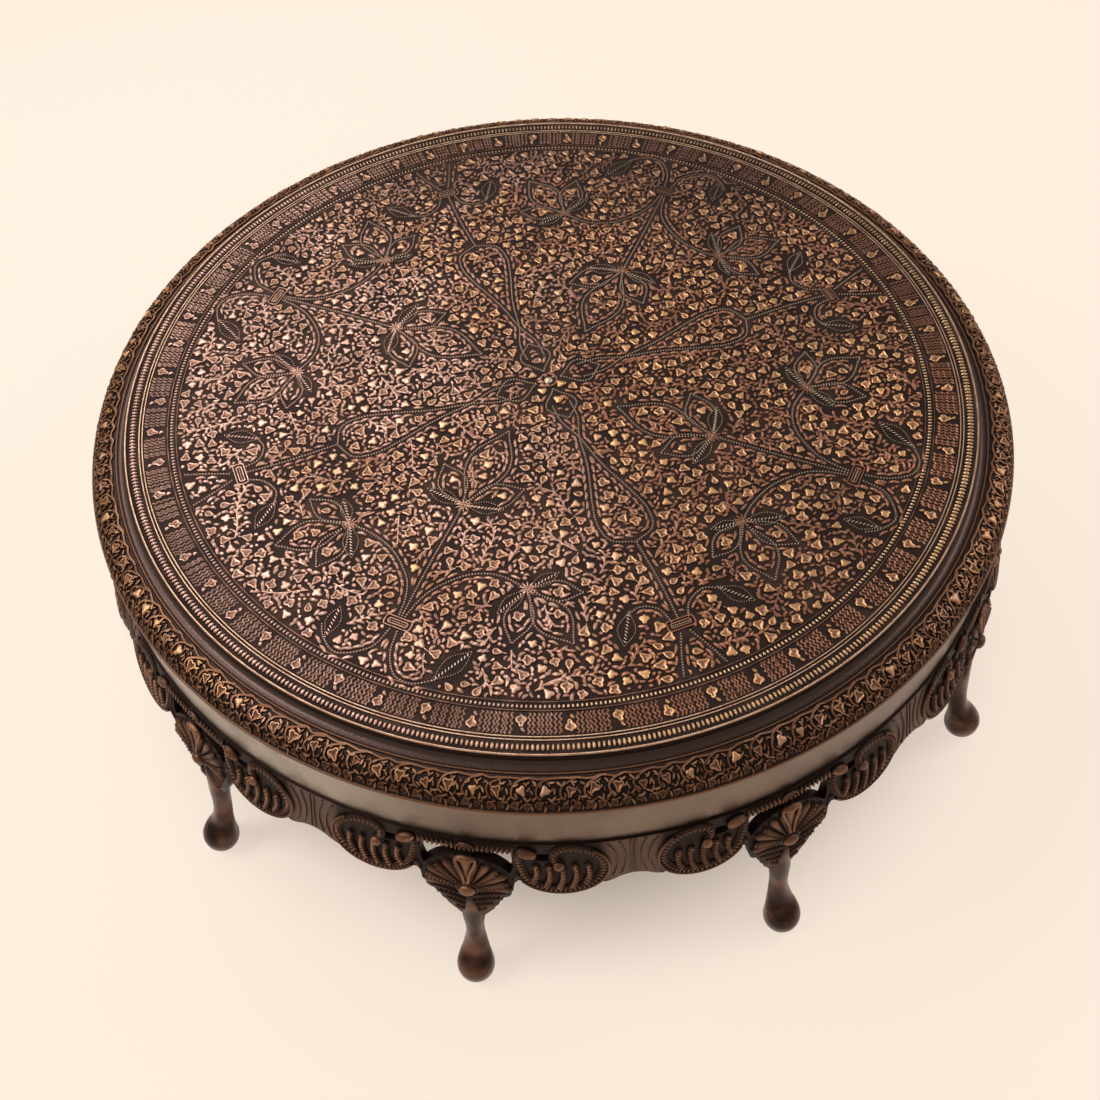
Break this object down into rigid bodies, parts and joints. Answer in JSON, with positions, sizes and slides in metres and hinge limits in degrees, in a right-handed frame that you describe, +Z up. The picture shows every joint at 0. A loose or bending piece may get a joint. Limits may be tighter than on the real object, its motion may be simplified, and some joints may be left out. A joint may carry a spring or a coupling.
{
  "type": "bajot low table",
  "caption": "Round low table in dark coppery metal, its top embossed with vines and flowers, on a ring of cast shell legs with ball feet.",
  "frame": {"origin": "centre of the floor under the table, at the height of the feet's flats", "axes": "+Z up through the middle of the top; +X towards the first leg"},
  "size_m": [0.5074, 0.4844, 0.16],
  "materials": {
    "embossed_sheet": "antiqued copper-toned sheet, worn bright on the raised parts",
    "satin_sheet": "smooth satin sheet, grey-brown",
    "cast_metal": "dark antiqued casting, coppery on the raised parts",
    "core_wood": "sawn and turned, unfinished",
    "nail_iron": "dull dark iron"
  },
  "bodies": {
    "root": {"top_sheet": "embossed_sheet", "edge_moulding": "embossed_sheet", "fascia_band": "satin_sheet", "seam_tacks": "nail_iron", "leg_nails": "nail_iron", "core_plank_left": "core_wood", "core_plank_middle": "core_wood", "core_plank_right": "core_wood", "drum_block_01": "core_wood", "drum_block_02": "core_wood", "drum_block_03": "core_wood", "drum_block_04": "core_wood", "drum_block_05": "core_wood", "drum_block_06": "core_wood", "drum_block_07": "core_wood", "drum_block_08": "core_wood", "drum_block_09": "core_wood", "drum_block_10": "core_wood", "leg_casting_01": "cast_metal", "leg_casting_02": "cast_metal", "leg_casting_03": "cast_metal", "leg_casting_04": "cast_metal", "leg_casting_05": "cast_metal", "leg_casting_06": "cast_metal", "leg_casting_07": "cast_metal", "leg_casting_08": "cast_metal", "leg_casting_09": "cast_metal", "leg_casting_10": "cast_metal"}
  },
  "joints": []
}
